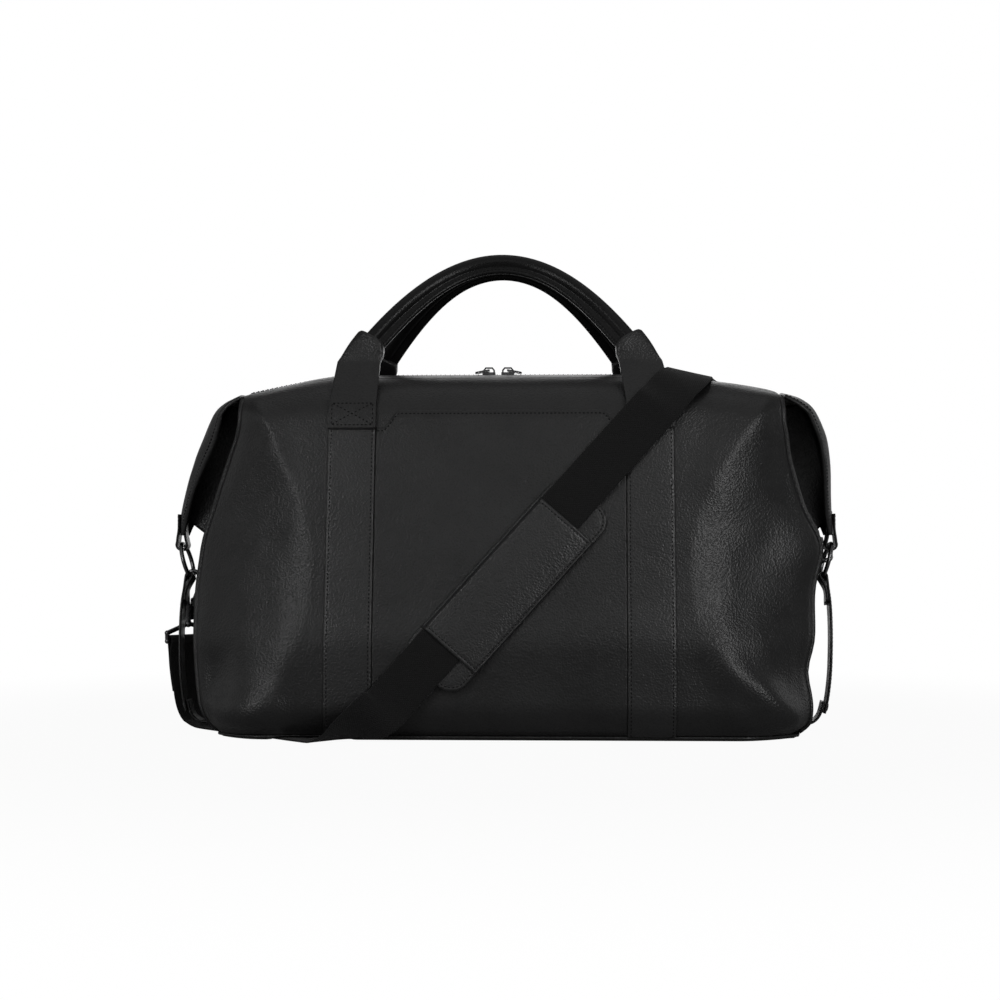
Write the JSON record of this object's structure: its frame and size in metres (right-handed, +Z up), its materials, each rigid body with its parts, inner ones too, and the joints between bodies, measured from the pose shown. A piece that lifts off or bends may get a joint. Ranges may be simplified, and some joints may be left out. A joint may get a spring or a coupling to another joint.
{
  "type": "weekender bag",
  "caption": "Soft leather weekender bag with rolled handles, a two-way top zip, drooping zip ends on rings, and a padded webbing shoulder strap on swivel snap hooks",
  "frame": {"origin": "middle of the base, on the surface that the bag stands on", "axes": "X to the right along the bag's length, Y from the front to the back, Z up"},
  "size_m": [0.5745, 0.2736, 0.4009],
  "materials": {
    "leather": "black pebbled leather, semi-matt",
    "webbing": "black woven webbing",
    "zip_cloth": "black woven zip tape",
    "zip_teeth": "black moulded coil",
    "lining_cloth": "plain dark lining",
    "board": "black stiffener board",
    "gunmetal": "polished dark nickel"
  },
  "bodies": {
    "root": {"front_panel": "leather", "back_panel": "leather", "left_gusset": "leather", "right_gusset": "leather", "base_panel": "leather", "base_welt": "leather", "base_board": "board", "lining": "lining_cloth", "front_zip_panel": "leather", "back_zip_panel": "leather", "front_zip_tape": "zip_cloth", "back_zip_tape": "zip_cloth", "zip_chain": "zip_teeth", "left_wing": "leather", "right_wing": "leather", "left_ring_tab": "leather", "right_ring_tab": "leather", "left_side_strap": "leather", "right_side_strap": "leather", "left_base_tab": "leather", "right_base_tab": "leather", "side_rivets": "gunmetal", "front_left_strap": "leather", "front_right_strap": "leather", "back_left_strap": "leather", "back_right_strap": "leather", "front_pocket": "leather", "front_left_tab": "leather", "front_right_tab": "leather", "back_left_tab": "leather", "back_right_tab": "leather", "webbing_left": "webbing", "webbing_front": "webbing", "webbing_back": "webbing", "left_eye": "gunmetal", "right_eye": "gunmetal"},
    "front_handle": {"front_grip": "leather", "front_left_chape": "leather", "front_right_chape": "leather"},
    "back_handle": {"back_grip": "leather", "back_left_chape": "leather", "back_right_chape": "leather"},
    "left_zip": {"left_slider": "gunmetal"},
    "right_zip": {"right_slider": "gunmetal"},
    "left_zip_pull": {"left_pull": "gunmetal"},
    "right_zip_pull": {"right_pull": "gunmetal"},
    "left_ring_body": {"left_ring": "gunmetal"},
    "right_ring_body": {"right_ring": "gunmetal"},
    "left_hook_body": {"left_hook": "gunmetal"},
    "right_hook_body": {"right_hook": "gunmetal"},
    "left_gate_body": {"left_gate": "gunmetal"},
    "right_gate_body": {"right_gate": "gunmetal"},
    "shoulder_pad": {"pad_base": "leather", "pad_sleeve": "leather"}
  },
  "joints": [
    {"name": "front_handle_swing", "type": "hinge", "parent": "root", "child": "front_handle", "pos_m": [-0.002, -0.062, 0.303], "axis": [1, 0, 0], "range_deg": [0, 105]},
    {"name": "back_handle_swing", "type": "hinge", "parent": "root", "child": "back_handle", "pos_m": [-0.002, 0.062, 0.303], "axis": [-1, 0, 0], "range_deg": [0, 105]},
    {"name": "left_zip_slide", "type": "slide", "parent": "root", "child": "left_zip", "axis": [-1, 0, 0], "range_m": [0, 0.1]},
    {"name": "right_zip_slide", "type": "slide", "parent": "root", "child": "right_zip", "axis": [1, 0, 0], "range_m": [0, 0.1]},
    {"name": "left_pull_swing", "type": "hinge", "parent": "left_zip", "child": "left_zip_pull", "pos_m": [-0.013, 0, 0.303], "axis": [0, 1, 0], "range_deg": [0, 95]},
    {"name": "right_pull_swing", "type": "hinge", "parent": "right_zip", "child": "right_zip_pull", "pos_m": [0.003, 0, 0.303], "axis": [0, -1, 0], "range_deg": [0, 95]},
    {"name": "left_ring_turn", "type": "hinge", "parent": "root", "child": "left_ring_body", "pos_m": [-0.2715, 0, 0.141], "axis": [0.9641, 0, 0.2656], "continuous": true},
    {"name": "right_ring_turn", "type": "hinge", "parent": "root", "child": "right_ring_body", "pos_m": [0.2715, 0, 0.141], "axis": [0.9641, 0, -0.2656], "continuous": true},
    {"name": "left_hook_swivel", "type": "hinge", "parent": "root", "child": "left_hook_body", "pos_m": [-0.27313, 0.0076, 0.10508], "axis": [0, -0.1045, 0.9945], "range_deg": [-15, 15]},
    {"name": "right_hook_swivel", "type": "hinge", "parent": "root", "child": "right_hook_body", "pos_m": [0.26707, 0.03299, 0.15749], "axis": [0, -0.8192, -0.5736], "range_deg": [-15, 15]},
    {"name": "left_gate_hinge", "type": "hinge", "parent": "left_hook_body", "child": "left_gate_body", "pos_m": [-0.26793, 0.00729, 0.10806], "axis": [0, -0.9945, -0.1045], "range_deg": [0, 15]},
    {"name": "right_gate_hinge", "type": "hinge", "parent": "right_hook_body", "child": "right_gate_body", "pos_m": [0.27227, 0.03054, 0.15577], "axis": [0, 0.5736, -0.8192], "range_deg": [0, 15]},
    {"name": "pad_slide", "type": "slide", "parent": "root", "child": "shoulder_pad", "axis": [0.6631, 0.1241, 0.7382], "range_m": [-0.024, 0.05]}
  ]
}
